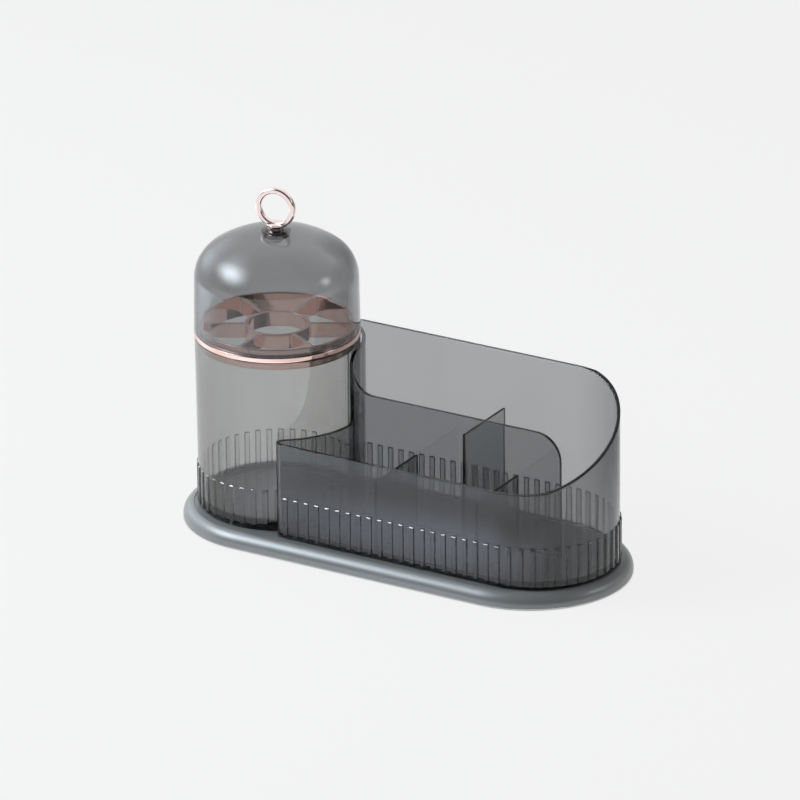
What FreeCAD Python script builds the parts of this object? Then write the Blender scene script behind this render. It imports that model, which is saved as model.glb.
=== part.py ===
import FreeCAD, Part
import math
import os

from FreeCAD import Vector

# Makeup brush box: a lidded brush tumbler and an open compartment box on one tray.
# Lengths are millimetres. X runs along the tray, Y points to the back, Z is up.
# The origin is under the middle of the tray, on the surface that it stands on.

# Tray
tray_spine_half = 82.7
tray_margin = 9.9
tray_rim_height = 9.0
tray_rim_inset = 6.0
tray_rim_flat = 0.3
tray_recess_depth = 0.4
tray_shoulder_radius = 7.0
tray_plate = 2.4
tray_wall = 2.2
tray_skirt_gap = 1.0
tray_web = 1.6
tray_web_gap = 2.6
locator_height = 1.2
locator_clearance = 1.0
locator_corner_radius = 3.0

# Anti-slip pads and their pockets
pad_radius = 7.0
pad_thickness = 2.0
pad_pocket_clearance = 0.1
pad_boss_wall = 1.8
pad_end_offset = 15.3
pad_side_inset = 26.5

# Brush tumbler
tumbler_end_offset = 3.5
tumbler_height = 105.5
tumbler_base_radius = 47.3
tumbler_taper_deg = 0.55
tumbler_wall = 2.2
tumbler_floor = 2.5
tumbler_foot_width = 8.9
tumbler_foot_recess = 1.5
tumbler_floor_fillet = 4.0
tumbler_base_fillet = 0.9
tumbler_rim_fillet = 0.5

# Ribbed band round the foot of the tumbler and of the box
rib_start = 2.1
rib_length = 23.5
rib_width = 3.3
rib_face_width = 2.7
rib_top_bevel = 0.5
rib_root = 0.6
tumbler_rib_count = 42
tumbler_rib_height = 0.8
box_rib_pitch = 7.0
box_rib_height = 1.0

# Divider insert
flange_thickness = 3.3
flange_overhang = 0.2
flange_edge_fillet = 0.6
collar_edge_fillet = 0.4
insert_clearance = 0.4
collar_wall = 1.7
collar_rise = 4.0
collar_drop = 4.8
lid_clearance = 0.7
spoke_count = 6
spoke_first_deg = 30.0
spoke_thickness = 1.8
spoke_depth = 9.0
spoke_setback = 1.0
spoke_root = 0.5
centre_ring_radius = 19.2
centre_ring_wall = 1.8
key_count = 8
key_first_deg = 10.0
key_width = 1.0
key_height = 0.35

# Dome lid
dome_height = 61.4
dome_taper_deg = 1.0
dome_shoulder_radius = 22.8
dome_crown_radius = 70.0
dome_wall = 2.0
dome_seat_radius = 8.0
dome_seat_depth = 3.0
dome_hole_clearance = 0.3

# Finial ring, its screw and its washer
finial_outer_radius = 12.15
finial_hole_radius = 8.95
finial_width = 3.8
finial_edge_round = 1.0
finial_lift = 1.0
finial_turn_deg = 8.0
finial_sink = 0.35
finial_seat_clearance = 0.1
neck_radius = 4.9
neck_height = 1.9
neck_cup_radius = 5.6
neck_cup_rise = 1.0
neck_cup_lip = 0.9
neck_waist_round = 1.0
neck_edge_round = 0.3
screw_radius = 2.0
screw_grip = 2.8
screw_bore_relief = 0.2
screw_head_radius = 3.9
screw_head_height = 2.4
screw_head_round = 0.7
screw_slot_length = 4.6
screw_slot_width = 1.0
screw_slot_depth = 1.1
washer_radius = 6.4
washer_thickness = 1.0
washer_clearance = 0.2

# Compartment box
box_end_offset = 3.5
box_side_margin = 0.3
box_wall = 2.0
box_floor = 2.2
box_foot_width = 3.0
box_foot_recess = 1.7
box_gap_to_lid = 0.8
box_corner_radius = 4.3
box_floor_fillet = 1.5
box_base_fillet = 0.8
box_back_height = 102.4
box_front_height = 58.6
box_step_top_radius = 7.0
box_step_foot_radius = 3.0
box_slope_setback = 8.6
box_slope_blend_radius = 30.0
partition_drop = 24.1
partition_thickness = 2.0
partition_overrun = 16.7
partition_end_radius = 16.0
partition_horn_rise = 14.5
partition_horn_radius = 14.0
divider_top_thickness = 1.4
divider_foot_thickness = 2.6
divider_top_round = 0.4
front_divider_1_distance = 42.4
front_divider_1_drop = 10.3
front_divider_2_distance = 109.2
front_divider_2_drop = 9.7
rear_divider_distance = 73.5
rear_divider_drop = 11.7

# Values that follow from the ones above
overshoot = 5.0
ledge_z = tray_rim_height - tray_recess_depth
tumbler_x = -tray_spine_half - tumbler_end_offset
tumbler_top_z = ledge_z + tumbler_height
tumbler_slope = math.tan(math.radians(tumbler_taper_deg))
tumbler_top_radius = tumbler_base_radius + tumbler_height * tumbler_slope
tumbler_foot_radius = tumbler_base_radius - tumbler_foot_width
flange_top_z = tumbler_top_z + flange_thickness
lid_radius = tumbler_top_radius + flange_overhang
box_arc_centre_x = tray_spine_half + box_end_offset
box_half_depth = tumbler_top_radius + box_side_margin
box_hollow = lid_radius + box_gap_to_lid
box_inner_x = tumbler_x + box_hollow + box_wall
partition_height = box_back_height - partition_drop
tray_end_radius = box_half_depth + box_rib_height + tray_margin
pad_column_pitch = tray_spine_half + pad_end_offset
pad_row_half = tray_end_radius - pad_side_inset
dome_taper = math.radians(dome_taper_deg)
dome_top_z = flange_top_z + dome_height
neck_low_z = dome_top_z - finial_sink
seat_low_z = dome_top_z - dome_wall - dome_seat_depth
washer_low_z = seat_low_z - washer_thickness


def place(a, b, plane):
    if plane == "XZ":
        return Vector(a, 0, b)
    return Vector(0, a, b)


def arc_edge(start, middle, end):
    return Part.Arc(start, middle, end).toShape()


def on_arc(centre, radius, angle):
    """Point of a circle in the XZ plane, with the angle in radians up from +X."""
    return centre + Vector(radius * math.cos(angle), 0, radius * math.sin(angle))


def rounded_wire(corners, plane="XZ"):
    """Closed wire through (a, b, fillet radius) corners, with tangent arcs at the fillets."""
    runs = []
    count = len(corners)
    for i in range(count):
        here = Vector(corners[i][0], corners[i][1], 0)
        radius = corners[i][2]
        before = Vector(corners[i - 1][0], corners[i - 1][1], 0) - here
        after = Vector(corners[(i + 1) % count][0], corners[(i + 1) % count][1], 0) - here
        before.normalize()
        after.normalize()
        bisector = before + after
        if radius <= 0:
            runs.append((here, None, here))
            continue
        bisector.normalize()
        half_angle = before.getAngle(after) / 2
        setback = radius / math.tan(half_angle)
        middle = here + bisector * (radius / math.sin(half_angle) - radius)
        runs.append((here + before * setback, middle, here + after * setback))

    edges = []
    for i in range(count):
        first, middle, last = runs[i]
        following = runs[(i + 1) % count][0]
        if middle is not None:
            edges.append(arc_edge(place(first.x, first.y, plane), place(middle.x, middle.y, plane),
                                  place(last.x, last.y, plane)))
        if last.distanceToPoint(following) > 1e-6:
            edges.append(Part.makeLine(place(last.x, last.y, plane),
                                       place(following.x, following.y, plane)))
    return Part.Wire(edges)


def turned(wire):
    """Solid of revolution of an XZ wire about the Z axis."""
    return Part.Face(wire).revolve(Vector(0, 0, 0), Vector(0, 0, 1), 360)


def cylinder(radius, z_low, z_high, x=0.0, y=0.0):
    return Part.makeCylinder(radius, z_high - z_low, Vector(x, y, z_low))


def block(x_low, x_high, y_low, y_high, z_low, z_high):
    return Part.makeBox(x_high - x_low, y_high - y_low, z_high - z_low, Vector(x_low, y_low, z_low))


def prism(outline, z_low, z_high):
    solid = Part.Face(outline).extrude(Vector(0, 0, z_high - z_low))
    solid.translate(Vector(0, 0, z_low))
    return solid


def about_z(shape, degrees):
    turned_shape = shape.copy()
    turned_shape.rotate(Vector(0, 0, 0), Vector(0, 0, 1), degrees)
    return turned_shape


def on_tumbler_axis(shape):
    shape.translate(Vector(tumbler_x, 0, 0))
    return shape


def swept_stadium(section):
    """Sweep an XZ section, drawn outwards from the spine, round the straight sides and both ends."""
    face = Part.Face(section)
    pieces = []
    for side in (-1, 1):
        end_x = side * tray_spine_half
        end = about_z(face, -90 * side)
        end.translate(Vector(end_x, 0, 0))
        pieces.append(end.revolve(Vector(end_x, 0, 0), Vector(0, 0, 1), 180))
        straight = about_z(face, 90 * side)
        straight.translate(Vector(-tray_spine_half, 0, 0))
        pieces.append(straight.extrude(Vector(2 * tray_spine_half, 0, 0)))
    return pieces[0].multiFuse(pieces[1:]).removeSplitter()


def tray_section(inset, top_z, bottom_z):
    """Half section with a flat top, rounded shoulder and upright skirt, inset by a wall."""
    skirt_x = tray_end_radius - inset
    arc_x = tray_end_radius - tray_shoulder_radius
    rim_x = tray_end_radius - tray_rim_inset
    arc_z = tray_rim_height - math.sqrt(tray_shoulder_radius ** 2 - (rim_x - arc_x) ** 2)
    radius = tray_shoulder_radius - inset
    rise = min(top_z - arc_z, radius)
    crest = Vector(arc_x + math.sqrt(radius ** 2 - rise ** 2), 0, arc_z + rise)
    half_turn = math.asin(rise / radius) / 2
    middle = Vector(arc_x + radius * math.cos(half_turn), 0, arc_z + radius * math.sin(half_turn))
    foot = Vector(skirt_x, 0, arc_z)
    corners = [foot, Vector(skirt_x, 0, bottom_z), Vector(0, 0, bottom_z), Vector(0, 0, top_z)]
    if top_z > crest.z:
        corners.append(Vector(crest.x, 0, top_z))
    corners.append(crest)
    edges = [Part.makeLine(start, end) for start, end in zip(corners, corners[1:])]
    edges.append(arc_edge(crest, middle, foot))
    return Part.Wire(edges)


def tray_recess():
    radius = tray_end_radius - tray_rim_inset - tray_rim_flat
    top_z = tray_rim_height + overshoot
    return swept_stadium(rounded_wire([
        (0, ledge_z, 0), (radius, ledge_z, 0), (radius, top_z, 0), (0, top_z, 0)]))


def pad_places():
    return [(column * pad_column_pitch, row * pad_row_half)
            for row in (-1, 1) for column in (-1, 0, 1)]


def tray_stiffening(hollow_top_z):
    """Webs and pad bosses that stand in the hollow under the tray's plate."""
    pieces = []
    reach_x = tray_spine_half + tray_end_radius
    half_web = tray_web / 2
    for row in (-1, 1):
        y = row * pad_row_half
        pieces.append(block(-reach_x, reach_x, y - half_web, y + half_web, tray_web_gap, hollow_top_z))
    for column in (-1, 0, 1):
        x = column * pad_column_pitch
        pieces.append(block(x - half_web, x + half_web, -tray_end_radius, tray_end_radius,
                            tray_web_gap, hollow_top_z))
    boss_radius = pad_radius + pad_pocket_clearance + pad_boss_wall
    for x, y in pad_places():
        pieces.append(cylinder(boss_radius, tray_skirt_gap, hollow_top_z, x, y))
    return pieces[0].multiFuse(pieces[1:])


def make_tray():
    plate_low_z = ledge_z - tray_plate
    outer = swept_stadium(tray_section(0, tray_rim_height, tray_skirt_gap))
    hollow = swept_stadium(tray_section(tray_wall, plate_low_z, tray_skirt_gap - overshoot))
    stiffening = tray_stiffening(plate_low_z).common(hollow)
    shell = outer.cut(hollow).cut(tray_recess())
    locator_low_z = ledge_z - tray_plate / 2
    locator_top_z = ledge_z + locator_height
    disc = on_tumbler_axis(cylinder(tumbler_foot_radius - locator_clearance, locator_low_z, locator_top_z))
    plateau = prism(box_outline(box_foot_width + locator_clearance, locator_corner_radius),
                    locator_low_z, locator_top_z)
    tray = shell.multiFuse([stiffening, disc, plateau])
    pocket_radius = pad_radius + pad_pocket_clearance
    pockets = [cylinder(pocket_radius, tray_skirt_gap - overshoot, pad_thickness, x, y)
               for x, y in pad_places()]
    return tray.cut(pockets[0].multiFuse(pockets[1:])).removeSplitter()


def make_pad(x, y):
    return cylinder(pad_radius, 0, pad_thickness, x, y)


def tumbler_radius(z):
    return tumbler_base_radius + (z - ledge_z) * tumbler_slope


def make_rib(outward):
    """Rib that stands on a wall face at X = 0, tapered to its own face and bevelled on top."""
    half_root = rib_width / 2
    half_face = rib_face_width / 2
    low_z = ledge_z + rib_start
    top_z = low_z + rib_length
    plan = Part.makePolygon([Vector(-rib_root, -half_root, low_z), Vector(0, -half_root, low_z),
                             Vector(outward, -half_face, low_z), Vector(outward, half_face, low_z),
                             Vector(0, half_root, low_z), Vector(-rib_root, half_root, low_z),
                             Vector(-rib_root, -half_root, low_z)])
    rib = Part.Face(plan).extrude(Vector(0, 0, rib_length))
    bevel = rounded_wire([(outward - rib_top_bevel, top_z, 0), (outward, top_z - rib_top_bevel, 0),
                          (outward + overshoot, top_z - rib_top_bevel, 0),
                          (outward + overshoot, top_z + overshoot, 0),
                          (outward - rib_top_bevel, top_z + overshoot, 0)])
    cutter = Part.Face(bevel).extrude(Vector(0, 2 * rib_width, 0))
    cutter.translate(Vector(0, -rib_width, 0))
    return rib.cut(cutter)


def make_tumbler():
    top_radius = tumbler_radius(tumbler_top_z)
    recess_z = ledge_z + tumbler_foot_recess
    floor_z = recess_z + tumbler_floor
    wall = turned(rounded_wire([
        (0, recess_z, 0),
        (tumbler_foot_radius, recess_z, 0),
        (tumbler_foot_radius, ledge_z, 0),
        (tumbler_base_radius, ledge_z, tumbler_base_fillet),
        (top_radius, tumbler_top_z, tumbler_rim_fillet),
        (top_radius - tumbler_wall, tumbler_top_z, tumbler_rim_fillet),
        (tumbler_radius(floor_z) - tumbler_wall, floor_z, tumbler_floor_fillet),
        (0, floor_z, 0)]))
    wall_radius = tumbler_radius(ledge_z + rib_start)
    rib = make_rib(tumbler_rib_height)
    rib.translate(Vector(wall_radius, 0, 0))
    ribs = [about_z(rib, 360.0 * i / tumbler_rib_count) for i in range(tumbler_rib_count)]
    return on_tumbler_axis(wall.multiFuse(ribs).removeSplitter())


def dome_inner_foot_radius():
    return lid_radius - dome_wall / math.cos(dome_taper)


def dome_solid(inset, bottom_z):
    """Tapered side, rounded shoulder and shallow crown that run tangent into each other."""
    side_x = lid_radius * math.cos(dome_taper) - dome_shoulder_radius
    crown_z = dome_height - dome_crown_radius
    lean = math.tan(dome_taper)
    square = 1 + lean ** 2
    linear = side_x * lean / math.cos(dome_taper) + crown_z
    constant = (side_x / math.cos(dome_taper)) ** 2 + crown_z ** 2
    constant -= (dome_crown_radius - dome_shoulder_radius) ** 2
    shoulder_z = (linear + math.sqrt(linear ** 2 - square * constant)) / square
    shoulder = Vector((side_x - shoulder_z * math.sin(dome_taper)) / math.cos(dome_taper), 0,
                      flange_top_z + shoulder_z)
    crown = Vector(0, 0, flange_top_z + crown_z)
    shoulder_radius = dome_shoulder_radius - inset
    crown_radius = dome_crown_radius - inset
    start = dome_taper
    end = math.atan2(shoulder.z - crown.z, shoulder.x)
    join = on_arc(shoulder, shoulder_radius, start)
    crest = on_arc(crown, crown_radius, end)
    apex = on_arc(crown, crown_radius, math.pi / 2)
    foot = Vector(join.x + (join.z - bottom_z) * lean, 0, bottom_z)
    centre = Vector(0, 0, bottom_z)
    return turned(Part.Wire([
        Part.makeLine(centre, foot),
        Part.makeLine(foot, join),
        arc_edge(join, on_arc(shoulder, shoulder_radius, (start + end) / 2), crest),
        arc_edge(crest, on_arc(crown, crown_radius, (end + math.pi / 2) / 2), apex),
        Part.makeLine(apex, centre)]))


def make_dome():
    outer = dome_solid(0, flange_top_z)
    inner = dome_solid(dome_wall, flange_top_z - overshoot)
    seat = cylinder(dome_seat_radius, seat_low_z, dome_top_z - dome_wall / 2)
    hole = cylinder(screw_radius + dome_hole_clearance, seat_low_z - overshoot, dome_top_z + overshoot)
    flat = cylinder(neck_radius + finial_seat_clearance, neck_low_z, dome_top_z + overshoot)
    return on_tumbler_axis(outer.cut(inner).fuse(seat).cut(hole).cut(flat).removeSplitter())


def make_insert():
    """Plated ring with a flange between two collars, six spokes and a centre ring."""
    key_radius = dome_inner_foot_radius() - lid_clearance
    upper_radius = key_radius - key_height
    inner_radius = upper_radius - collar_wall
    lower_z = tumbler_top_z - collar_drop
    lower_radius = tumbler_radius(lower_z) - tumbler_wall - insert_clearance
    top_z = flange_top_z + collar_rise
    body = turned(rounded_wire([
        (inner_radius, lower_z, 0),
        (lower_radius, lower_z, 0),
        (lower_radius, tumbler_top_z, 0),
        (lid_radius, tumbler_top_z, flange_edge_fillet),
        (lid_radius, flange_top_z, flange_edge_fillet),
        (upper_radius, flange_top_z, 0),
        (upper_radius, top_z, collar_edge_fillet),
        (inner_radius, top_z, collar_edge_fillet)]))
    spoke_top_z = top_z - spoke_setback
    spoke_low_z = spoke_top_z - spoke_depth
    hole_radius = centre_ring_radius - centre_ring_wall
    spoke = block(hole_radius, inner_radius + spoke_root, -spoke_thickness / 2,
                  spoke_thickness / 2, spoke_low_z, spoke_top_z)
    key = block(upper_radius - spoke_root, key_radius, -key_width / 2, key_width / 2,
                flange_top_z, top_z - collar_edge_fillet)
    pieces = [cylinder(centre_ring_radius, spoke_low_z, spoke_top_z)]
    pieces += [about_z(spoke, spoke_first_deg + 360.0 * i / spoke_count) for i in range(spoke_count)]
    pieces += [about_z(key, key_first_deg + 360.0 * i / key_count) for i in range(key_count)]
    hole = cylinder(hole_radius, spoke_low_z - overshoot, top_z + overshoot)
    return on_tumbler_axis(body.multiFuse(pieces).cut(hole).removeSplitter())


def make_finial():
    """Upright ring on a cupped neck, turned a little about Z, with the screw's blind bore from below."""
    half_width = finial_width / 2
    band = turned(rounded_wire([
        (finial_hole_radius, -half_width, finial_edge_round),
        (finial_outer_radius, -half_width, finial_edge_round),
        (finial_outer_radius, half_width, finial_edge_round),
        (finial_hole_radius, half_width, finial_edge_round)]))
    band.rotate(Vector(0, 0, 0), Vector(1, 0, 0), 90)
    centre_z = neck_low_z + finial_lift + finial_outer_radius
    band.translate(Vector(0, 0, centre_z))
    band.rotate(Vector(0, 0, 0), Vector(0, 0, 1), finial_turn_deg)
    flare_z = neck_low_z + neck_height
    lip_z = flare_z + neck_cup_rise
    neck = turned(rounded_wire([
        (0, neck_low_z, 0),
        (neck_radius, neck_low_z, neck_edge_round),
        (neck_radius, flare_z, neck_waist_round),
        (neck_cup_radius, lip_z, neck_edge_round),
        (neck_cup_radius, lip_z + neck_cup_lip, neck_edge_round),
        (0, lip_z + neck_cup_lip, 0)]))
    bore = cylinder(screw_radius, neck_low_z - overshoot, neck_low_z + screw_grip + screw_bore_relief)
    return on_tumbler_axis(band.fuse(neck).cut(bore).removeSplitter())


def make_washer():
    disc = cylinder(washer_radius, washer_low_z, seat_low_z)
    hole = cylinder(screw_radius + washer_clearance, washer_low_z - overshoot, seat_low_z + overshoot)
    return on_tumbler_axis(disc.cut(hole))


def make_screw():
    head_low_z = washer_low_z - screw_head_height
    tip_z = neck_low_z + screw_grip
    body = turned(rounded_wire([
        (0, head_low_z, 0),
        (screw_head_radius, head_low_z, screw_head_round),
        (screw_head_radius, washer_low_z, 0),
        (screw_radius, washer_low_z, 0),
        (screw_radius, tip_z, 0),
        (0, tip_z, 0)]))
    slot = block(-screw_slot_length / 2, screw_slot_length / 2, -screw_slot_width / 2,
                 screw_slot_width / 2, head_low_z - overshoot, head_low_z + screw_slot_depth)
    return on_tumbler_axis(body.cut(slot).cut(about_z(slot, 90)))


def box_corner_x(inset, corner):
    reach = box_hollow + inset + corner
    return tumbler_x + math.sqrt(reach ** 2 - (box_half_depth - inset - corner) ** 2)


def box_outline(inset, corner):
    """Plan of the box, inset by a wall: straight front and back, round right end, hollow left side."""
    half = box_half_depth - inset
    hollow = box_hollow + inset
    axis = Vector(tumbler_x, 0, 0)
    centre = Vector(box_corner_x(inset, corner), half - corner, 0)
    to_axis = axis - centre
    to_axis.normalize()
    bisector = to_axis + Vector(0, 1, 0)
    bisector.normalize()
    back = [Vector(centre.x, half, 0), centre + bisector * corner, centre + to_axis * corner]
    front = [Vector(point.x, -point.y, 0) for point in back]
    right_back = Vector(box_arc_centre_x, half, 0)
    right_front = Vector(box_arc_centre_x, -half, 0)
    return Part.Wire([
        Part.makeLine(front[0], right_front),
        arc_edge(right_front, Vector(box_arc_centre_x + half, 0, 0), right_back),
        Part.makeLine(right_back, back[0]),
        arc_edge(back[0], back[1], back[2]),
        arc_edge(back[2], Vector(tumbler_x + hollow, 0, 0), front[2]),
        arc_edge(front[2], front[1], front[0])])


def edges_at_height(shape, z):
    return [edge for edge in shape.Edges
            if abs(edge.BoundBox.ZMin - z) < 1e-4 and abs(edge.BoundBox.ZMax - z) < 1e-4]


def box_height_limit(back_z, front_z):
    """Space under the box's top edge: a step on the left wall and a slope round the right end."""
    far = 2 * box_half_depth
    low_z = ledge_z - overshoot
    step_y = -partition_thickness / 2
    left = rounded_wire([
        (-far, low_z, 0), (-far, front_z, 0), (step_y, front_z, box_step_foot_radius),
        (step_y, back_z, box_step_top_radius), (far, back_z, 0), (far, low_z, 0)], "YZ")
    slope_end_y = box_slope_setback - box_half_depth
    right = rounded_wire([
        (-far, low_z, 0), (-far, front_z, 0), (slope_end_y, front_z, box_slope_blend_radius),
        (box_half_depth - box_wall, back_z, 0), (far, back_z, 0), (far, low_z, 0)], "YZ")
    left_solid = Part.Face(left).extrude(Vector(2 * tray_end_radius + box_arc_centre_x, 0, 0))
    left_solid.translate(Vector(-2 * tray_end_radius, 0, 0))
    right_solid = Part.Face(right).extrude(Vector(far, 0, 0))
    right_solid.translate(Vector(box_arc_centre_x, 0, 0))
    return left_solid.fuse(right_solid)


def box_rib_places():
    """Evenly spaced points on the front, the right end and the back, with their outward angles."""
    start_x = box_corner_x(0, box_corner_radius)
    straight = box_arc_centre_x - start_x
    turn = math.pi * box_half_depth
    count = round((2 * straight + turn) / box_rib_pitch)
    places = []
    for i in range(count):
        along = (2 * straight + turn) * (i + 0.5) / count
        if along < straight:
            places.append((start_x + along, -box_half_depth, -90.0))
        elif along < straight + turn:
            angle = -math.pi / 2 + (along - straight) / box_half_depth
            places.append((box_arc_centre_x + box_half_depth * math.cos(angle),
                           box_half_depth * math.sin(angle), math.degrees(angle)))
        else:
            places.append((box_arc_centre_x - (along - straight - turn), box_half_depth, 90.0))
    return places


def make_partition(floor_z):
    """Middle wall with a horn that climbs the left wall and a round free corner at the right."""
    buried_x = box_inner_x - box_wall / 2
    end_x = box_arc_centre_x + partition_overrun
    top_z = ledge_z + partition_height
    low_z = floor_z - box_floor / 2
    side = rounded_wire([
        (buried_x, low_z, 0),
        (buried_x, top_z + partition_horn_rise, 0),
        (box_inner_x, top_z + partition_horn_rise, 0),
        (box_inner_x, top_z, partition_horn_radius),
        (end_x, top_z, partition_end_radius),
        (end_x, low_z, 0)])
    wall = Part.Face(side).extrude(Vector(0, partition_thickness, 0))
    wall.translate(Vector(0, -partition_thickness / 2, 0))
    return wall


def make_divider(distance, height, y_low, y_high, floor_z):
    """Cross wall at a distance from the hollow side, thinner at its top edge so that it leaves the mould."""
    x = box_inner_x + distance
    half_top = divider_top_thickness / 2
    half_foot = divider_foot_thickness / 2
    low_z = floor_z - box_floor / 2
    top_z = ledge_z + height
    section = rounded_wire([
        (x - half_foot, low_z, 0), (x + half_foot, low_z, 0), (x + half_top, top_z, divider_top_round),
        (x - half_top, top_z, divider_top_round)])
    wall = Part.Face(section).extrude(Vector(0, y_high - y_low, 0))
    wall.translate(Vector(0, y_low, 0))
    return wall


def make_box():
    back_z = ledge_z + box_back_height
    front_z = ledge_z + box_front_height
    recess_z = ledge_z + box_foot_recess
    floor_z = recess_z + box_floor
    block_top_z = back_z + overshoot
    outer = prism(box_outline(0, box_corner_radius), ledge_z, block_top_z)
    outer = outer.makeFillet(box_base_fillet, edges_at_height(outer, ledge_z))
    inside = prism(box_outline(box_wall, box_corner_radius - box_wall), floor_z, block_top_z + overshoot)
    inside = inside.makeFillet(box_floor_fillet, edges_at_height(inside, floor_z))
    foot_corner = box_corner_radius - box_wall
    recess = prism(box_outline(box_foot_width, foot_corner), ledge_z - overshoot, recess_z)
    shell = outer.cut(inside).cut(recess).common(box_height_limit(back_z, front_z))
    ribs = []
    for x, y, angle in box_rib_places():
        rib = about_z(make_rib(box_rib_height), angle)
        rib.translate(Vector(x, y, 0))
        ribs.append(rib)
    inner_wall_y = box_half_depth - box_wall / 2
    walls = [
        make_partition(floor_z),
        make_divider(front_divider_1_distance, box_front_height - front_divider_1_drop,
                     -inner_wall_y, 0, floor_z),
        make_divider(front_divider_2_distance, box_front_height - front_divider_2_drop,
                     -inner_wall_y, 0, floor_z),
        make_divider(rear_divider_distance, partition_height - rear_divider_drop,
                     0, inner_wall_y, floor_z)]
    return shell.multiFuse(ribs + walls).removeSplitter()


shapes = {
    "tray": make_tray(),
    "brush_tumbler": make_tumbler(),
    "divider_insert": make_insert(),
    "dome_lid": make_dome(),
    "finial_ring": make_finial(),
    "finial_screw": make_screw(),
    "finial_washer": make_washer(),
    "compartment_box": make_box(),
}
for number, (pad_x, pad_y) in enumerate(pad_places(), start=1):
    shapes["anti_slip_pad_" + str(number)] = make_pad(pad_x, pad_y)

os.makedirs("parts", exist_ok=True)
for name, shape in shapes.items():
    solid = shape.Solids[0] if len(shape.Solids) == 1 else shape
    solid.exportStep("parts/" + name + ".step")
    print(name, len(shape.Solids), "solid,", round(solid.Volume, 1), "mm3, valid", solid.isValid())
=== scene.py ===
# %% [markdown]
# # A makeup brush box
# A clear brush tumbler with a domed lid stands beside an open compartment box, both on one low tray.
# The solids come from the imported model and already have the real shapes, down to the ribs and the sloped rim.
# What is left for Blender is what they are made of: smoky polystyrene, satin ABS and rose gold plating.
# The light matters as much as the materials, because clear plastic and plated metal show the room.

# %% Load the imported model
import bpy
import math
from mathutils import Matrix, Quaternion, Vector

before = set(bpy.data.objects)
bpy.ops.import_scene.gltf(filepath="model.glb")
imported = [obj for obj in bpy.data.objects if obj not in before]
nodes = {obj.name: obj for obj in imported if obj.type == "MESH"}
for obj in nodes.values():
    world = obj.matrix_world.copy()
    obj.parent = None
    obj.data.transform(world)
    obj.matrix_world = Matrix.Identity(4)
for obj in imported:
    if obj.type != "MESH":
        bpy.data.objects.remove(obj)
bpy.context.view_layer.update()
MM = 0.001
print("solids:", ", ".join(sorted(nodes)))

# %% [markdown]
# Colours are written as sRGB hex values, the numbers that a colour picker shows.
# Shaders count in linear light, so one function turns a hex value into linear numbers.

# %% Colours
def linear(hex_code, alpha=1.0):
    channels = [int(hex_code[i:i + 2], 16) / 255 for i in (1, 3, 5)]
    channels = [c / 12.92 if c <= 0.04045 else ((c + 0.055) / 1.055) ** 2.4 for c in channels]
    return (*channels, alpha)


WHITE = (1, 1, 1, 1)
print("a mid grey of #808080 is", round(linear("#808080")[0], 3), "in linear light")

# %% [markdown]
# Each finish, lamp and backdrop is a small tree of nodes.
# One helper adds a node, sets its options and its plain inputs, and joins its linked inputs.

# %% A node with its settings and links
def add_node(tree, kind, values=None, links=None, **settings):
    node = tree.nodes.new(kind)
    for name, value in settings.items():
        setattr(node, name, value)
    for socket, value in (values or {}).items():
        node.inputs[socket].default_value = value
    for socket, source in (links or {}).items():
        tree.links.new(source, node.inputs[socket])
    return node


def new_material(name):
    material = bpy.data.materials.new(name)
    material.use_nodes = True
    material.node_tree.nodes.clear()
    return material, material.node_tree


# %% [markdown]
# The camera stands where the photographer stood: a little to the right of the front, looking down.
# A long lens from five metres keeps the upright lines parallel, as they are in the photograph.
# The focal length follows from how many pixels one metre of the object should cover.

# %% Camera
PHOTO_SIZE = 800
CAMERA_AZIMUTH = math.radians(30.653)
CAMERA_ELEVATION = math.radians(22.466)
CAMERA_ROLL = math.radians(0.481)
CAMERA_DISTANCE = 5.0
PIXELS_PER_METRE = 1720.13
AIM_RIGHT = -0.00397
AIM_UP = 0.08218
SENSOR_MM = 36.0

view = Vector((-math.sin(CAMERA_AZIMUTH) * math.cos(CAMERA_ELEVATION),
               math.cos(CAMERA_AZIMUTH) * math.cos(CAMERA_ELEVATION),
               -math.sin(CAMERA_ELEVATION)))
right = Vector((math.cos(CAMERA_AZIMUTH), math.sin(CAMERA_AZIMUTH), 0))
up = right.cross(view)
rolled_right = math.cos(CAMERA_ROLL) * right - math.sin(CAMERA_ROLL) * up
rolled_up = math.sin(CAMERA_ROLL) * right + math.cos(CAMERA_ROLL) * up
camera_data = bpy.data.cameras.new("camera")
camera_data.sensor_width = SENSOR_MM
camera_data.lens = PIXELS_PER_METRE * CAMERA_DISTANCE / PHOTO_SIZE * SENSOR_MM
camera_data.clip_end = 50
camera = bpy.data.objects.new("camera", camera_data)
rotation = Matrix((rolled_right, rolled_up, -view)).transposed().to_4x4()
aim = AIM_RIGHT * rolled_right + AIM_UP * rolled_up
camera.matrix_world = Matrix.Translation(aim - CAMERA_DISTANCE * view) @ rotation
bpy.context.scene.collection.objects.link(camera)
bpy.context.scene.camera = camera
bpy.context.scene.view_settings.view_transform = "Standard"
print("focal length", round(camera_data.lens), "mm at", CAMERA_DISTANCE, "m")

# %% [markdown]
# The object stands on pale paper that runs out of sight.
# To the camera, and in reflections and through clear walls, that paper should look even and pale.
# A node tells which kind of ray asks, so the paper can glow for the eye and stay plain for the lamps.

# %% Which rays see the backdrop
BACKDROP = "#f4f4f4"


def seen_directly(tree):
    path = add_node(tree, "ShaderNodeLightPath")
    seen = path.outputs["Is Camera Ray"]
    for ray in ("Is Glossy Ray", "Is Transmission Ray"):
        either = add_node(tree, "ShaderNodeMath", operation="MAXIMUM",
                          links={0: seen, 1: path.outputs[ray]})
        seen = either.outputs[0]
    return seen


print("backdrop", BACKDROP)
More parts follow.
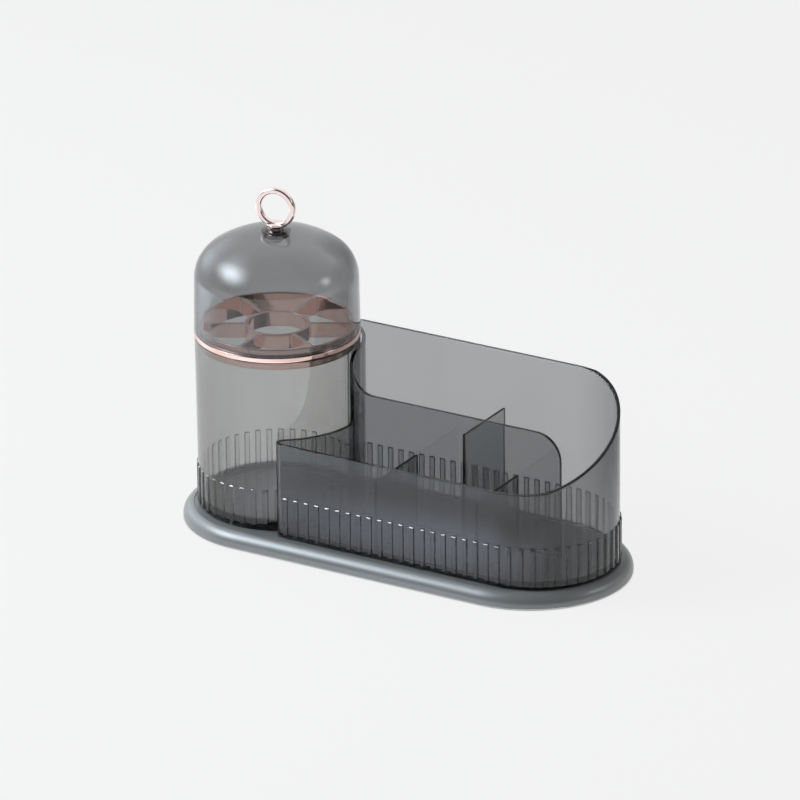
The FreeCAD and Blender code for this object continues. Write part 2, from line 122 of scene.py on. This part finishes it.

# %% [markdown]
# Most of what the eye sees of the paper is that even glow, and a small share is the real matt surface.
# The matt share carries the object's soft shadow.
# Under the rim, where the paper lies in a gap of a few millimetres, an ambient occlusion node fades the glow: a
# painted contact shadow.

# %% Paper floor
FLOOR_SIZE = 30.0
GLOW_SHARE = 0.93
CONTACT_MM = 5
OPENNESS_DARK = 0.1
OPENNESS_BRIGHT = 0.6
GLOW_IN_GAP = 0.08
GAP_RAYS = 8
PAPER_ROUGHNESS = 0.9

half = FLOOR_SIZE / 2
floor_mesh = bpy.data.meshes.new("paper_floor")
floor_mesh.from_pydata([(-half, -half, 0), (half, -half, 0), (half, half, 0), (-half, half, 0)],
                       [], [(0, 1, 2, 3)])
floor = bpy.data.objects.new("paper_floor", floor_mesh)
bpy.context.scene.collection.objects.link(floor)

paper, tree = new_material("matt white backdrop paper")
matt = add_node(tree, "ShaderNodeBsdfPrincipled",
                values={"Base Color": linear("#f2f2f2"), "Roughness": PAPER_ROUGHNESS})
# The ambient occlusion below paints the contact shadow into the glow: where little space is open around the
# paper, it glows less.
near = add_node(tree, "ShaderNodeAmbientOcclusion", values={"Distance": CONTACT_MM * MM},
                samples=GAP_RAYS)
painted_contact_shadow = add_node(tree, "ShaderNodeMapRange",
                   values={"From Min": OPENNESS_DARK, "From Max": OPENNESS_BRIGHT, "To Min": GLOW_IN_GAP},
                   links={"Value": near.outputs["AO"]})
glow = add_node(tree, "ShaderNodeEmission", values={"Color": linear(BACKDROP)},
                links={"Strength": painted_contact_shadow.outputs[0]})
share = add_node(tree, "ShaderNodeMath", operation="MULTIPLY", values={1: GLOW_SHARE},
                 links={0: seen_directly(tree)})
mixed = add_node(tree, "ShaderNodeMixShader",
                 links={0: share.outputs[0], 1: matt.outputs[0], 2: glow.outputs[0]})
add_node(tree, "ShaderNodeOutputMaterial", links={"Surface": mixed.outputs[0]})
floor_mesh.materials.append(paper)
print("paper floor,", FLOOR_SIZE, "m wide")

# %% [markdown]
# The paper sweeps up behind the object, and the studio behind the photographer is dark.
# The dome shows both: its lower walls mirror the pale floor and its crown mirrors the dark room.
# So the world is pale ahead of the lens and dark behind it, and an even dim grey where it acts as a lamp.
# The split follows one fixed direction in the room, so it stays in place when the camera moves.

# %% World
ROOM_LIGHT = 0.31
DARK_ROOM = 0.09
SPLIT_HALF_WIDTH = 0.4

world = bpy.data.worlds.new("paper_sweep_and_dark_studio")
bpy.context.scene.world = world
world.use_nodes = True
tree = world.node_tree
tree.nodes.clear()
look = add_node(tree, "ShaderNodeTexCoord")
towards_sweep = add_node(tree, "ShaderNodeVectorMath", operation="DOT_PRODUCT", values={1: tuple(view)},
                         links={0: look.outputs["Generated"]})
sweep = add_node(tree, "ShaderNodeMapRange", interpolation_type="SMOOTHSTEP",
                 values={"From Min": -SPLIT_HALF_WIDTH, "From Max": SPLIT_HALF_WIDTH,
                         "To Min": DARK_ROOM, "To Max": 1.0},
                 links={"Value": towards_sweep.outputs["Value"]})
mirrored = add_node(tree, "ShaderNodeMix", data_type="FLOAT", values={2: ROOM_LIGHT},
                    links={0: seen_directly(tree), 3: sweep.outputs[0]})
path = add_node(tree, "ShaderNodeLightPath")
strength = add_node(tree, "ShaderNodeMix", data_type="FLOAT", values={3: 1.0},
                    links={0: path.outputs["Is Camera Ray"], 2: mirrored.outputs[0]})
background = add_node(tree, "ShaderNodeBackground", values={"Color": linear(BACKDROP)},
                      links={"Strength": strength.outputs[0]})
add_node(tree, "ShaderNodeOutputWorld", links={"Surface": background.outputs[0]})
print("world: light", ROOM_LIGHT, "dark side", DARK_ROOM)

# %% [markdown]
# A real softbox is brightest in its middle and fades to its edge, which is why its reflection is soft.
# An area lamp can do the same: its shader knows where on the lamp a ray lands.
# The higher the peak, the smaller the bright core and the wider the faint halo around it.
# A lamp is hidden from the camera, and may also be hidden from rays that come through clear walls.

# %% A softbox that fades to its edge
MIDDLE = (0.5, 0.5, 0.0)
EDGE_FROM_MIDDLE = 0.5


def softbox(name, place, target, width, height, power, colour="#ffffff", peak=1.0, turn=0.0,
            through_walls=True):
    data = bpy.data.lights.new(name, "AREA")
    data.shape = "RECTANGLE"
    data.size = width
    data.size_y = height
    data.energy = power
    data.use_nodes = True
    tree = data.node_tree
    tree.nodes.clear()
    patch = add_node(tree, "ShaderNodeNewGeometry")
    offset = add_node(tree, "ShaderNodeVectorMath", operation="DISTANCE", values={1: MIDDLE},
                      links={0: patch.outputs["Parametric"]})
    fade = add_node(tree, "ShaderNodeMapRange", interpolation_type="SMOOTHSTEP",
                    values={"From Max": EDGE_FROM_MIDDLE, "To Min": 1.0, "To Max": 0.0},
                    links={"Value": offset.outputs["Value"]})
    peaked = add_node(tree, "ShaderNodeMath", operation="POWER", values={1: peak},
                      links={0: fade.outputs[0]})
    emission = add_node(tree, "ShaderNodeEmission", values={"Color": linear(colour)},
                        links={"Strength": peaked.outputs[0]})
    add_node(tree, "ShaderNodeOutputLight", links={"Surface": emission.outputs[0]})
    lamp = bpy.data.objects.new(name, data)
    lamp.location = place
    aimed = (Vector(target) - Vector(place)).to_track_quat("-Z", "Y")
    lamp.rotation_euler = (aimed @ Quaternion((0, 0, 1), math.radians(turn))).to_euler()
    lamp.visible_camera = False
    lamp.visible_transmission = through_walls
    bpy.context.scene.collection.objects.link(lamp)
    print(name, "at", [round(v, 2) for v in lamp.location])
    return lamp


# %% [markdown]
# The photograph's dome has a large round glow to the left and a small one to the right.
# Following the view back from each glow gives the direction of its softbox.
# The dome stretches a reflection more one way than the other, so the large softbox is oblong and turned.

# %% Softboxes that the dome shows
DOME_GLOW = Vector((-0.094, -0.042, 0.164))
SMALL_GLOW = Vector((-0.044, -0.015, 0.160))
KEY_DISTANCE = 1.0
SIDE_DISTANCE = 1.3

key_direction = Vector((-0.64, -0.36, 0.68)).normalized()
side_direction = Vector((0.865, 0.319, 0.389))
softbox("key_softbox", DOME_GLOW + KEY_DISTANCE * key_direction, DOME_GLOW,
        width=2.2, height=1.4, power=110, colour="#e6eff8", peak=2.5, turn=-22)
softbox("side_softbox", SMALL_GLOW + SIDE_DISTANCE * side_direction, SMALL_GLOW,
        width=0.75, height=0.85, power=6.5, peak=1.6)

# %% [markdown]
# A cool window to the left tints the dome's left shoulder.
# Two fills light the matt parts alone: the left one is strong, so the tray's left end is its brightest.

# %% Window and fills
softbox("left_window", (-1.3, 0.35, 0.55), (-0.09, 0, 0.15), width=1.4, height=1.2, power=9,
        colour="#dcebfa", through_walls=False)
for name, place, side_length, power in (("left_fill", (-1.2, -0.6, 0.8), 0.9, 19),
                                        ("right_fill", (1.2, 0.35, 0.5), 0.6, 7)):
    fill = softbox(name, place, (0, 0, 0), side_length, side_length, power, "#fbfbfa", through_walls=False)
    fill.visible_glossy = False

# %% [markdown]
# An upright wall, seen from above, mirrors the floor in front of it.
# The bluish sheen on the box's front wall and ribs is such a patch of floor.
# Foil sheets on the floor give that sheen, and they light nothing but reflections.

# %% Reflector sheets on the floor
SHEET_ABOVE_FLOOR_MM = 0.6


def floor_sheet(name, x, y, width, depth, power):
    sheet = softbox(name, (x, y, SHEET_ABOVE_FLOOR_MM * MM), (x, y, 1.0), width, depth, power, "#d6e3fa",
                    through_walls=False)
    sheet.visible_diffuse = False
    sheet.visible_volume_scatter = False


floor_sheet("sheet_front", -0.12, -0.26, 0.7, 0.46, 0.8)
floor_sheet("sheet_near", 0.02, -0.105, 0.40, 0.11, 0.22)
floor_sheet("sheet_left", -0.55, -0.10, 0.5, 0.6, 2.1)

# %% [markdown]
# Polished metal in a room that is white all round looks flat and chalky.
# Photographers stand black cards just outside the picture, and the metal's dark stripes are these cards.
# A card with a hard edge would draw a hard shape on the dome, so the cards here thin out to their edges.

# %% Soft-edged black card
CARD_SOLID_TO = 0.15
CARD_SEE_THROUGH = 0.15

black_paper, tree = new_material("matt black card")
matt_black = add_node(tree, "ShaderNodeBsdfPrincipled",
                      values={"Base Color": linear("#151210"), "Roughness": PAPER_ROUGHNESS})
nothing = add_node(tree, "ShaderNodeBsdfTransparent")
sheet_place = add_node(tree, "ShaderNodeTexCoord")
spread = add_node(tree, "ShaderNodeVectorMath", operation="DISTANCE", values={1: MIDDLE},
                  links={0: sheet_place.outputs["UV"]})
thinning = add_node(tree, "ShaderNodeMapRange", interpolation_type="SMOOTHSTEP",
                    values={"From Min": CARD_SOLID_TO, "From Max": EDGE_FROM_MIDDLE,
                            "To Min": CARD_SEE_THROUGH},
                    links={"Value": spread.outputs["Value"]})
soft = add_node(tree, "ShaderNodeMixShader",
                links={0: thinning.outputs[0], 1: matt_black.outputs[0], 2: nothing.outputs[0]})
add_node(tree, "ShaderNodeOutputMaterial", links={"Surface": soft.outputs[0]})


def black_card(name, centre, width, height, lying=False):
    place = Vector(centre)
    outward = Vector((place.x, place.y, 0)).normalized()
    across = Vector((-outward.y, outward.x, 0))
    along = outward if lying else Vector((0, 0, 1))
    corners = [place + across * sx * width / 2 + along * sy * height / 2
               for sx, sy in ((-1, -1), (1, -1), (1, 1), (-1, 1))]
    mesh = bpy.data.meshes.new(name)
    mesh.from_pydata([tuple(corner) for corner in corners], [], [(0, 1, 2, 3)])
    mesh.uv_layers.new(name="sheet")
    for loop, corner in zip(mesh.uv_layers["sheet"].data, ((0, 0), (1, 0), (1, 1), (0, 1))):
        loop.uv = corner
    mesh.materials.append(black_paper)
    card = bpy.data.objects.new(name, mesh)
    for ray in ("camera", "diffuse", "transmission", "volume_scatter", "shadow"):
        setattr(card, "visible_" + ray, False)
    bpy.context.scene.collection.objects.link(card)
    print(name, "at", centre)


# %% [markdown]
# One card stands behind the box, one lies on the floor there, and a small one stands close to the
# finial ring.
# The ring is bright where it mirrors the paper in front and dark where it mirrors these.
# Reflections alone see the cards, so they shade nothing and hide nothing.

# %% Black cards
black_card("card_back_right", (0.15, 0.23, 0.20), 0.5, 0.42)
black_card("card_on_floor", (0.27, 0.22, 0.02), 0.5, 0.5, lying=True)
black_card("card_by_ring", (-0.040, 0.048, 0.178), 0.09, 0.06)

# %% [markdown]
# The tumbler, the dome and the box are polystyrene, moulded with a smoky dye right through.
# The colour is therefore not on the surface: light loses more of itself the further it travels inside.
# A clear surface with absorption in its volume gives that, and makes the rims dark by itself,
# because there the eye looks down through the full height of a wall.
# Walls of moulded plastic also wave a little, some tenths of a millimetre over a few centimetres,
# and no moulded edge is sharp, so the Bevel node bends the light there as a rounded edge would.

# %% Smoky polystyrene
POLYSTYRENE_IOR = 1.59
GLASSY = 0.02
WAVE_MM = 38
WAVE_DEPTH_MM = 0.4
EDGE_ROUND_MM = 1.0
BEVEL_RAYS = 8


def smoky_polystyrene(name, dye, strength):
    material, tree = new_material(name)
    place = add_node(tree, "ShaderNodeTexCoord")
    wave = add_node(tree, "ShaderNodeTexNoise", values={"Scale": 1 / (WAVE_MM * MM), "Detail": 1.0},
                    links={"Vector": place.outputs["Object"]})
    edge = add_node(tree, "ShaderNodeBevel", values={"Radius": EDGE_ROUND_MM * MM}, samples=BEVEL_RAYS)
    ripple = add_node(tree, "ShaderNodeBump", values={"Strength": 0.15, "Distance": WAVE_DEPTH_MM * MM},
                      links={"Height": wave.outputs["Fac"], "Normal": edge.outputs[0]})
    # Polished mould steel leaves the surface nearly mirror smooth: the eye gets crisp, glassy reflections.
    glass = add_node(tree, "ShaderNodeBsdfPrincipled",
                     values={"Base Color": WHITE, "Roughness": GLASSY, "IOR": POLYSTYRENE_IOR,
                             "Transmission Weight": 1.0},
                     links={"Normal": ripple.outputs[0]})
    dyed = add_node(tree, "ShaderNodeVolumeAbsorption", values={"Color": linear(dye), "Density": strength})
    add_node(tree, "ShaderNodeOutputMaterial", links={"Surface": glass.outputs[0], "Volume": dyed.outputs[0]})
    print(name, "with dye", dye, "at", strength, "per metre")
    return material, tree, place, ripple, glass


cup_smoke, cup_tree, *cup_parts = smoky_polystyrene(
    "smoky polystyrene, injection moulded, cup", "#bebfbd", 430.0)
lid_smoke = smoky_polystyrene("smoky polystyrene, injection moulded, lid", "#bcbec0", 640.0)[0]
box_smoke, box_tree, *box_parts = smoky_polystyrene(
    "smoky polystyrene, injection moulded, box", "#bcbec0", 740.0)

# %% [markdown]
# Each rib ends at the top in a small slanted face, and in the photograph each of these is a white dash.
# Such tiny faces are cut into the mould and never polished, so they are slightly frosted and catch the lamp.
# Their white dash is partly painted highlight: a share of white mirror, far brighter than frosted clear
# plastic, is mixed in there.
# The dash is found by its slope, 45 degrees, and by its height on the wall, so nothing else gets it.

# %% Frosted rib tops, with a painted glint
RIB_TOP_MM = 34
RIB_TOP_REACH_MM = 3
SLOPE_45 = math.sin(math.radians(45))
SLOPE_REACH = 0.1
FROST_AND_GLINT = 0.3


def frost_and_glint_rib_tops(tree, place, ripple, glass):
    flat = add_node(tree, "ShaderNodeNewGeometry")
    facing = add_node(tree, "ShaderNodeSeparateXYZ", links={0: flat.outputs["True Normal"]})
    slanted = add_node(tree, "ShaderNodeMath", operation="COMPARE", values={1: SLOPE_45, 2: SLOPE_REACH},
                       links={0: facing.outputs["Z"]})
    height = add_node(tree, "ShaderNodeSeparateXYZ", links={0: place.outputs["Object"]})
    at_rib_tops = add_node(tree, "ShaderNodeMath", operation="COMPARE",
                           values={1: RIB_TOP_MM * MM, 2: RIB_TOP_REACH_MM * MM},
                           links={0: height.outputs["Z"]})
    dash = add_node(tree, "ShaderNodeMath", operation="MULTIPLY",
                    links={0: slanted.outputs[0], 1: at_rib_tops.outputs[0]})
    share = add_node(tree, "ShaderNodeMath", operation="MULTIPLY", values={1: FROST_AND_GLINT},
                     links={0: dash.outputs[0]})
    # A white mirror share paints the glint of the dashes; frosted clear plastic alone would reflect far less.
    frost_and_glint = add_node(tree, "ShaderNodeBsdfPrincipled",
                       values={"Base Color": WHITE, "Metallic": 1.0, "Roughness": 0.3},
                       links={"Normal": ripple.outputs[0]})
    surface = add_node(tree, "ShaderNodeMixShader",
                       links={0: share.outputs[0], 1: glass.outputs[0], 2: frost_and_glint.outputs[0]})
    output = next(node for node in tree.nodes if node.type == "OUTPUT_MATERIAL")
    tree.links.new(surface.outputs[0], output.inputs["Surface"])


frost_and_glint_rib_tops(cup_tree, *cup_parts)
frost_and_glint_rib_tops(box_tree, *box_parts)
print("rib tops frosted at", RIB_TOP_MM, "mm")

# %% [markdown]
# The tray is ABS with a grey pearl pigment, moulded in a tool with a finely etched surface.
# The etching breaks the reflection into a broad satin band, so it needs roughness and a fine grain.
# The pearl flakes reflect a little like metal, which makes the band brighter than bare ABS would.
# The real grain is about 0.1 mm, too fine for the picture, so it is drawn five times as coarse.

# %% Satin ABS
ABS_IOR = 1.53
GRAIN_MM = 0.5
GRAIN_DEPTH_MM = 0.05
CLOUD_MM = 25
PEARL = 0.35

satin_abs, tree = new_material("satin pearl ABS, moulded and etched")
place = add_node(tree, "ShaderNodeTexCoord")
grain = add_node(tree, "ShaderNodeTexNoise", values={"Scale": 1 / (GRAIN_MM * MM), "Detail": 2.0},
                 links={"Vector": place.outputs["Object"]})
cloud = add_node(tree, "ShaderNodeTexNoise", values={"Scale": 1 / (CLOUD_MM * MM), "Detail": 3.0},
                 links={"Vector": place.outputs["Object"]})
etching = add_node(tree, "ShaderNodeMapRange", values={"To Min": 0.29, "To Max": 0.38},
                   links={"Value": cloud.outputs["Fac"]})
shade = add_node(tree, "ShaderNodeMix", data_type="RGBA", values={6: linear("#858889"), 7: linear("#8f9292")},
                 links={0: cloud.outputs["Fac"]})
bump = add_node(tree, "ShaderNodeBump", values={"Strength": 0.15, "Distance": GRAIN_DEPTH_MM * MM},
                links={"Height": grain.outputs["Fac"]})
shader = add_node(tree, "ShaderNodeBsdfPrincipled", values={"Metallic": PEARL, "IOR": ABS_IOR},
                  links={"Base Color": shade.outputs[2], "Roughness": etching.outputs[0],
                         "Normal": bump.outputs[0]})
add_node(tree, "ShaderNodeOutputMaterial", links={"Surface": shader.outputs[0]})
print("satin ABS, grain", GRAIN_MM, "mm")

# %% [markdown]
# The spoked insert is ABS with a vacuum-plated film, and the finial ring is zinc with an electroplated one.
# Both are real metal to the eye: all colour is in the reflection, and it is a pale pink gold.
# Plating repeats the surface below it, so a faint orange peel remains, finer on the zinc.
# Its edges are rounded and catch light from every side, so the walls end in thin pale lines, and these lines
# are painted highlight.
# The Bevel node finds the edges: where its normal leaves the flat one, the film's colour is painted paler,
# towards white, and less smooth.

# %% Rose gold plating
PEEL_DEPTH_MM = 0.05
EDGE_STARTS = 0.98
EDGE_FULL = 0.85
EDGE_ROUGHNESS = 0.4


def rose_gold(name, hex_code, roughness, peel_mm, pale_edge_mm):
    material, tree = new_material(name)
    place = add_node(tree, "ShaderNodeTexCoord")
    peel = add_node(tree, "ShaderNodeTexNoise", values={"Scale": 1 / (peel_mm * MM), "Detail": 1.0},
                    links={"Vector": place.outputs["Object"]})
    rub = add_node(tree, "ShaderNodeMapRange", values={"To Min": roughness * 0.7, "To Max": roughness * 1.3},
                   links={"Value": peel.outputs["Fac"]})
    edge = add_node(tree, "ShaderNodeBevel", values={"Radius": pale_edge_mm * MM}, samples=BEVEL_RAYS)
    bump = add_node(tree, "ShaderNodeBump", values={"Strength": 0.1, "Distance": PEEL_DEPTH_MM * MM},
                    links={"Height": peel.outputs["Fac"], "Normal": edge.outputs[0]})
    flat = add_node(tree, "ShaderNodeNewGeometry")
    bend = add_node(tree, "ShaderNodeVectorMath", operation="DOT_PRODUCT",
                    links={0: flat.outputs["Normal"], 1: edge.outputs[0]})
    # This mask marks the edges whose colour is painted towards white, a painted highlight.
    painted_edge_highlight = add_node(tree, "ShaderNodeMapRange", values={"From Min": EDGE_STARTS, "From Max": EDGE_FULL},
                    links={"Value": bend.outputs["Value"]})
    # The film's colour goes towards white at the edges: painted highlight.
    film_and_painted_highlight = add_node(tree, "ShaderNodeMix", data_type="RGBA", values={6: linear(hex_code), 7: WHITE},
                    links={0: painted_edge_highlight.outputs[0]})
    satin = add_node(tree, "ShaderNodeMath", operation="MULTIPLY_ADD", values={1: EDGE_ROUGHNESS},
                     links={0: painted_edge_highlight.outputs[0], 2: rub.outputs[0]})
    shader = add_node(tree, "ShaderNodeBsdfPrincipled", values={"Metallic": 1.0},
                      links={"Base Color": film_and_painted_highlight.outputs[2], "Roughness": satin.outputs[0],
                             "Normal": bump.outputs[0]})
    add_node(tree, "ShaderNodeOutputMaterial", links={"Surface": shader.outputs[0]})
    print(name, hex_code, "roughness", roughness)
    return material


plated_abs = rose_gold("rose gold, vacuum plated on ABS", "#eccabf", 0.08, 3.0, 0.6)
plated_zinc = rose_gold("rose gold, electroplated on zinc", "#f9e6e2", 0.05, 1.5, 0.2)

# %% [markdown]
# The screw and its washer are steel with a thin bright zinc plating, made by turning and stamping.
# Tool marks run around the axis, so the roughness comes in fine rings instead of an even polish.
# Turned marks are about 0.05 mm apart, so they are drawn at 0.4 mm to be visible at all.
# The wave texture multiplies its input by 20 before it takes the sine, which the scale allows for.

# %% Zinc plated steel
TURNING_MM = 0.4
WAVE_FACTOR = 20
FINIAL_AXIS = (-86.2 * MM, 0, 0)

zinc_steel, tree = new_material("zinc plated steel, turned")
place = add_node(tree, "ShaderNodeTexCoord")
from_axis = add_node(tree, "ShaderNodeVectorMath", operation="SUBTRACT", values={1: FINIAL_AXIS},
                     links={0: place.outputs["Object"]})
rings = add_node(tree, "ShaderNodeTexWave", wave_type="RINGS", rings_direction="Z",
                 values={"Scale": 2 * math.pi / (WAVE_FACTOR * TURNING_MM * MM)},
                 links={"Vector": from_axis.outputs[0]})
turned = add_node(tree, "ShaderNodeMapRange", values={"To Min": 0.35, "To Max": 0.5},
                  links={"Value": rings.outputs["Fac"]})
shader = add_node(tree, "ShaderNodeBsdfPrincipled",
                  values={"Base Color": linear("#e9eaeb"), "Metallic": 1.0},
                  links={"Roughness": turned.outputs[0]})
add_node(tree, "ShaderNodeOutputMaterial", links={"Surface": shader.outputs[0]})
print("zinc plated steel, turning marks", TURNING_MM, "mm apart")

# %% [markdown]
# The six pads under the tray are die-cut from milky silicone sheet and stuck into shallow pockets.
# Silicone grips because it is soft, and it looks dull and a little cloudy.
# The clouding is a fine filler, drawn 2 mm wide because single grains would not show.

# %% Silicone rubber
SILICONE_IOR = 1.41
FILLER_MM = 2.0
FILLER_DEPTH_MM = 0.1

silicone, tree = new_material("silicone rubber, die-cut sheet")
place = add_node(tree, "ShaderNodeTexCoord")
filler = add_node(tree, "ShaderNodeTexNoise", values={"Scale": 1 / (FILLER_MM * MM), "Detail": 2.0},
                  links={"Vector": place.outputs["Object"]})
milk = add_node(tree, "ShaderNodeMix", data_type="RGBA", values={6: linear("#a9abad"), 7: linear("#b6b8b9")},
                links={0: filler.outputs["Fac"]})
skin = add_node(tree, "ShaderNodeBump", values={"Strength": 0.2, "Distance": FILLER_DEPTH_MM * MM},
                links={"Height": filler.outputs["Fac"]})
shader = add_node(tree, "ShaderNodeBsdfPrincipled", values={"Roughness": 0.6, "IOR": SILICONE_IOR},
                  links={"Base Color": milk.outputs[2], "Normal": skin.outputs[0]})
add_node(tree, "ShaderNodeOutputMaterial", links={"Surface": shader.outputs[0]})
print("silicone pads:", sum(name.startswith("anti_slip_pad") for name in nodes))

# %% [markdown]
# Every solid keeps its mesh and gets the finish of the real piece, and nothing is added to its shape.
# A table from piece to finish is short, and it can be read like the list of materials on a drawing.
# The pads are the only pieces that the table leaves out, so what isn't in it is silicone.

# %% Give each node its finish
FINISHES = {
    "tray": satin_abs, "brush_tumbler": cup_smoke, "dome_lid": lid_smoke,
    "compartment_box": box_smoke, "divider_insert": plated_abs, "finial_ring": plated_zinc,
    "finial_screw": zinc_steel, "finial_washer": zinc_steel,
}
for name, node in nodes.items():
    node.data.materials.clear()
    node.data.materials.append(FINISHES.get(name, silicone))
    print(name, "is", node.data.materials[0].name)
